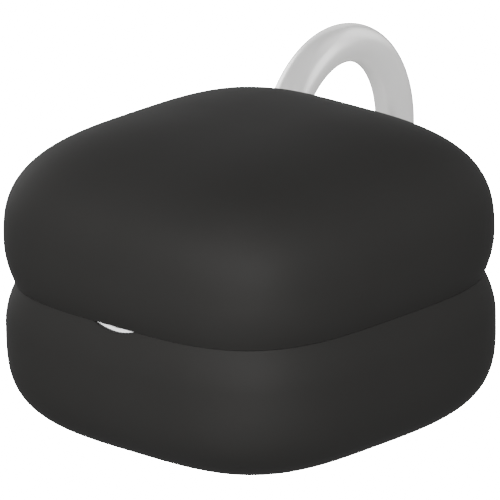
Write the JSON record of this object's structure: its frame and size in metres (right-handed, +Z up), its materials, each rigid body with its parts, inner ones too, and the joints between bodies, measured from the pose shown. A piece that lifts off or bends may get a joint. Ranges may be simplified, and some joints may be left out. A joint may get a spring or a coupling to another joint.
{
  "type": "friction ball",
  "caption": "Palm-sized two-lobed rubber friction ball for turning screw-off watch case backs, on a rigid core with an air valve and a swivelling hanging ring.",
  "frame": {"origin": "centre of the flat rest face under the lower lobe", "axes": "+Z up through both lobes; -Y out of the face with the air port; the lug is at the -X +Y corner"},
  "size_m": [0.0717, 0.1093, 0.0531],
  "materials": {
    "lobe_rubber": "matte",
    "white_core": "satin",
    "grey_core": "matte",
    "steel": "satin",
    "brass": "satin",
    "seal_rubber": "matte",
    "ring_finish": "satin"
  },
  "bodies": {
    "ball": {"upper_lobe": "lobe_rubber", "lower_lobe": "lobe_rubber", "waist_plate": "white_core", "upper_carrier": "grey_core", "lower_carrier": "grey_core", "carrier_screws": "steel", "thread_inserts": "brass", "port_sleeve": "seal_rubber", "valve_housing": "brass", "housing_seal": "seal_rubber", "valve_spring": "steel", "spring_retainer": "white_core", "retainer_clip": "steel", "lug_bush": "steel"},
    "poppet": {"valve_poppet": "brass", "poppet_seal": "seal_rubber"},
    "ring": {"hanging_ring": "ring_finish", "ring_spigot": "steel"}
  },
  "joints": [
    {"name": "ring_swivel", "type": "hinge", "parent": "ball", "child": "ring", "pos_m": [-0.0282, 0.0366, 0.02955], "axis": [0, 0, 1], "range_deg": [-90, 136]},
    {"name": "valve_press", "type": "slide", "parent": "ball", "child": "poppet", "axis": [0, 1, 0], "range_m": [0, 0.0012], "stiffness_N_per_m": 120, "springref_m": -0.001, "deforming": ["valve_spring"]}
  ]
}
